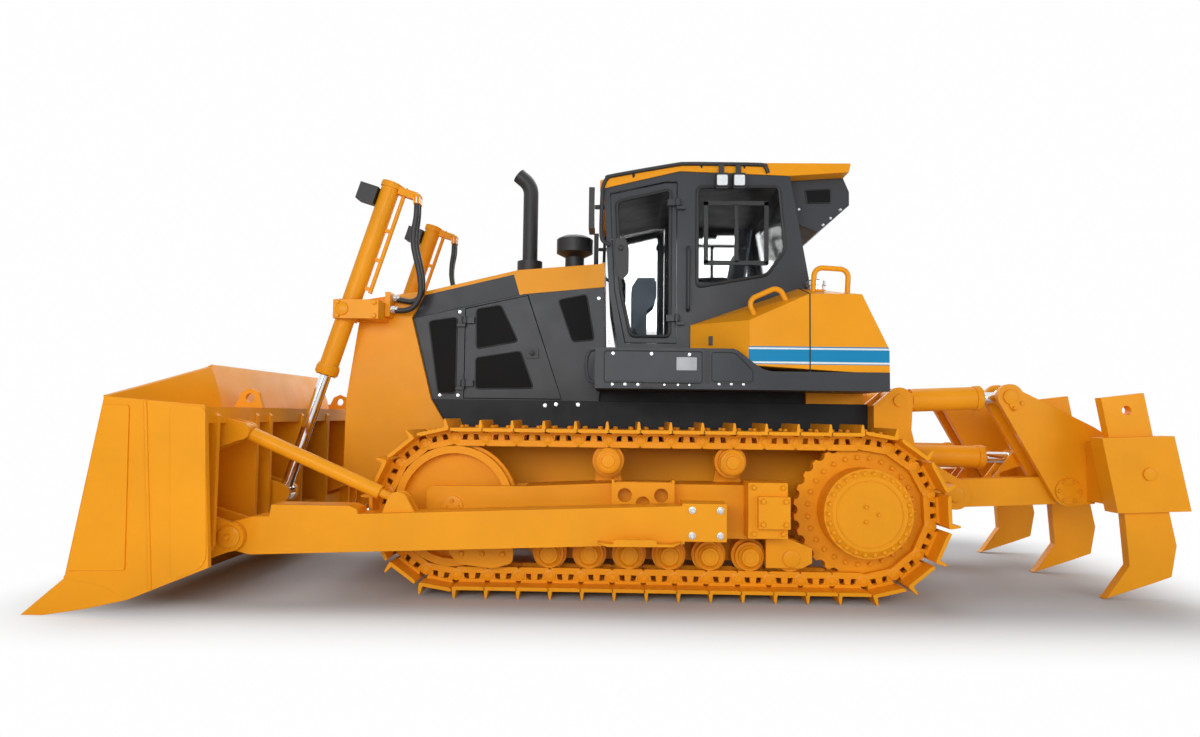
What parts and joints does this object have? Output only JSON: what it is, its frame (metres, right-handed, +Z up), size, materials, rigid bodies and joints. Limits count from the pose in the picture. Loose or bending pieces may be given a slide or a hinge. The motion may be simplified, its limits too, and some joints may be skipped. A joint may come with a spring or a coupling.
{
  "type": "crawler bulldozer",
  "caption": "Crawler bulldozer with a semi-U blade on push arms, a closed cab and a parallelogram ripper; blade, ripper, cab doors and engine doors move.",
  "frame": {"origin": "middle of the bounding box on the ground, under the tracks' grousers", "axes": "+X forward to the blade, +Y to the machine's left, +Z up"},
  "size_m": [8.041, 4, 3.5341],
  "materials": {
    "paint_yellow": "semi-gloss orange-yellow paint",
    "paint_grey": "satin dark grey paint",
    "black_trim": "matt black",
    "cab_glass": "clear, faintly grey",
    "chrome_rod": "polished",
    "steel_pin": "machined",
    "hose_rubber": "black hose",
    "seat_fabric": "dark woven cloth",
    "console_plastic": "blue-grey moulded plastic",
    "engine_iron": "dark cast iron"
  },
  "bodies": {
    "machine": {"main_frame": "paint_grey", "engine_block": "engine_iron", "radiator_guard": "paint_yellow", "front_grille": "paint_grey", "radiator_core": "engine_iron", "hood": "paint_yellow", "hood_sides": "paint_grey", "exhaust_stack": "black_trim", "air_cleaner": "black_trim", "cab_shell": "paint_grey", "cab_roof": "paint_yellow", "cab_glass": "cab_glass", "air_unit": "paint_grey", "seat_unit": "seat_fabric", "console": "console_plastic", "deck_left": "paint_grey", "deck_right": "paint_grey", "side_tank_left": "paint_yellow", "side_tank_right": "paint_yellow", "rear_tank": "paint_yellow", "handrails": "paint_yellow", "work_lamps": "black_trim", "mirrors": "black_trim", "track_frame_left": "paint_yellow", "track_frame_right": "paint_yellow", "track_left": "paint_yellow", "track_right": "paint_yellow", "sprockets": "paint_yellow", "idler_left": "paint_yellow", "idler_right": "paint_yellow", "rollers_left": "paint_yellow", "rollers_right": "paint_yellow", "final_drives": "paint_yellow", "lift_yokes": "paint_yellow", "ripper_tower": "paint_yellow", "lift_hoses": "hose_rubber"},
    "blade": {"blade": "paint_yellow", "cutting_edge": "paint_yellow", "push_arms": "paint_yellow", "braces": "paint_yellow", "lifting_eyes": "paint_yellow"},
    "lift_barrel": {"lift_barrels": "paint_yellow", "lift_lamps": "black_trim"},
    "lift_rod": {"lift_rods": "chrome_rod"},
    "cab_door_left": {"cab_door_left": "paint_grey", "door_glass_left": "cab_glass"},
    "cab_door_right": {"cab_door_right": "paint_grey", "door_glass_right": "cab_glass"},
    "engine_door_left": {"engine_door_left": "paint_grey"},
    "engine_door_right": {"engine_door_right": "paint_grey"},
    "ripper_link": {"ripper_link": "paint_yellow"},
    "ripper_hinge": {"ripper_low_pins": "steel_pin"},
    "ripper_tool": {"ripper_beam": "paint_yellow", "ripper_shanks": "paint_yellow"},
    "pitch_pivot": {"ripper_top_pins": "steel_pin"},
    "pitch_barrel": {"ripper_pitch_barrels": "paint_yellow"},
    "pitch_rod": {"ripper_pitch_rods": "chrome_rod"},
    "ripper_lift_barrel": {"ripper_lift_barrels": "paint_yellow"},
    "ripper_lift_rod": {"ripper_lift_rods": "chrome_rod"}
  },
  "joints": [
    {"name": "blade_lift", "type": "hinge", "parent": "machine", "child": "blade", "pos_m": [-0.234, 0, 0.58], "axis": [0, -1, 0], "range_deg": [-7.5, 17]},
    {"name": "lift_barrel_turn", "type": "hinge", "parent": "machine", "child": "lift_barrel", "pos_m": [2.407, 0, 2.128], "axis": [0, -1, 0], "range_deg": [-4.35, 9.86], "deforming": ["lift_hoses"]},
    {"name": "lift_rod_slide", "type": "slide", "parent": "lift_barrel", "child": "lift_rod", "axis": [0.3032, 0, -0.9529], "range_m": [-0.89605, 0.39532]},
    {"name": "cab_door_left_swing", "type": "hinge", "parent": "machine", "child": "cab_door_left", "pos_m": [-0.231, 0.87, 2.5], "axis": [0, 0, 1], "range_deg": [0, 95]},
    {"name": "cab_door_right_swing", "type": "hinge", "parent": "machine", "child": "cab_door_right", "pos_m": [-0.231, -0.87, 2.5], "axis": [0, 0, -1], "range_deg": [0, 95]},
    {"name": "engine_door_left_swing", "type": "hinge", "parent": "machine", "child": "engine_door_left", "pos_m": [1.493, 0.588, 1.8], "axis": [0, 0, -1], "range_deg": [0, 100]},
    {"name": "engine_door_right_swing", "type": "hinge", "parent": "machine", "child": "engine_door_right", "pos_m": [1.493, -0.588, 1.8], "axis": [0, 0, 1], "range_deg": [0, 100]},
    {"name": "ripper_lift", "type": "hinge", "parent": "machine", "child": "ripper_link", "pos_m": [-2.45, 0, 0.725], "axis": [0, 1, 0], "range_deg": [-36, 22]},
    {"name": "ripper_level", "type": "hinge", "parent": "ripper_link", "child": "ripper_hinge", "pos_m": [-3.333, 0, 0.765], "axis": [0, 1, 0], "range_deg": [-22, 36]},
    {"name": "ripper_pitch", "type": "hinge", "parent": "ripper_hinge", "child": "ripper_tool", "pos_m": [-3.333, 0, 0.765], "axis": [0, -1, 0], "range_deg": [-4, 18]},
    {"name": "pitch_pivot_turn", "type": "hinge", "parent": "machine", "child": "pitch_pivot", "pos_m": [-2.017, 0, 1.461], "axis": [0, 1, 0], "range_deg": [-36, 22]},
    {"name": "pitch_barrel_turn", "type": "hinge", "parent": "pitch_pivot", "child": "pitch_barrel", "pos_m": [-2.017, 0, 1.461], "axis": [0, 1, 0], "range_deg": [-1.12, 5.04]},
    {"name": "pitch_rod_slide", "type": "slide", "parent": "pitch_barrel", "child": "pitch_rod", "axis": [-0.999, 0, 0.0453], "range_m": [-0.05613, 0.25258]},
    {"name": "ripper_lift_barrel_turn", "type": "hinge", "parent": "machine", "child": "ripper_lift_barrel", "pos_m": [-2.077, 0, 1.012], "axis": [0, 1, 0], "range_deg": [-22.5, 13.75]},
    {"name": "ripper_lift_rod_slide", "type": "slide", "parent": "ripper_lift_barrel", "child": "ripper_lift_rod", "axis": [-1, 0, -0.0087], "range_m": [-0.09676, 0.15834]}
  ],
  "couplings": [
    {"joint": "lift_barrel_turn", "follows": "blade_lift", "ratio": 0.58},
    {"joint": "lift_rod_slide", "follows": "blade_lift", "m_per_rad": -3.02},
    {"joint": "ripper_level", "follows": "ripper_lift", "ratio": -1},
    {"joint": "pitch_pivot_turn", "follows": "ripper_lift", "ratio": 1},
    {"joint": "pitch_barrel_turn", "follows": "ripper_pitch", "ratio": 0.28},
    {"joint": "pitch_rod_slide", "follows": "ripper_pitch", "m_per_rad": 0.804},
    {"joint": "ripper_lift_barrel_turn", "follows": "ripper_lift", "ratio": 0.625},
    {"joint": "ripper_lift_rod_slide", "follows": "ripper_lift", "m_per_rad": -0.252}
  ]
}
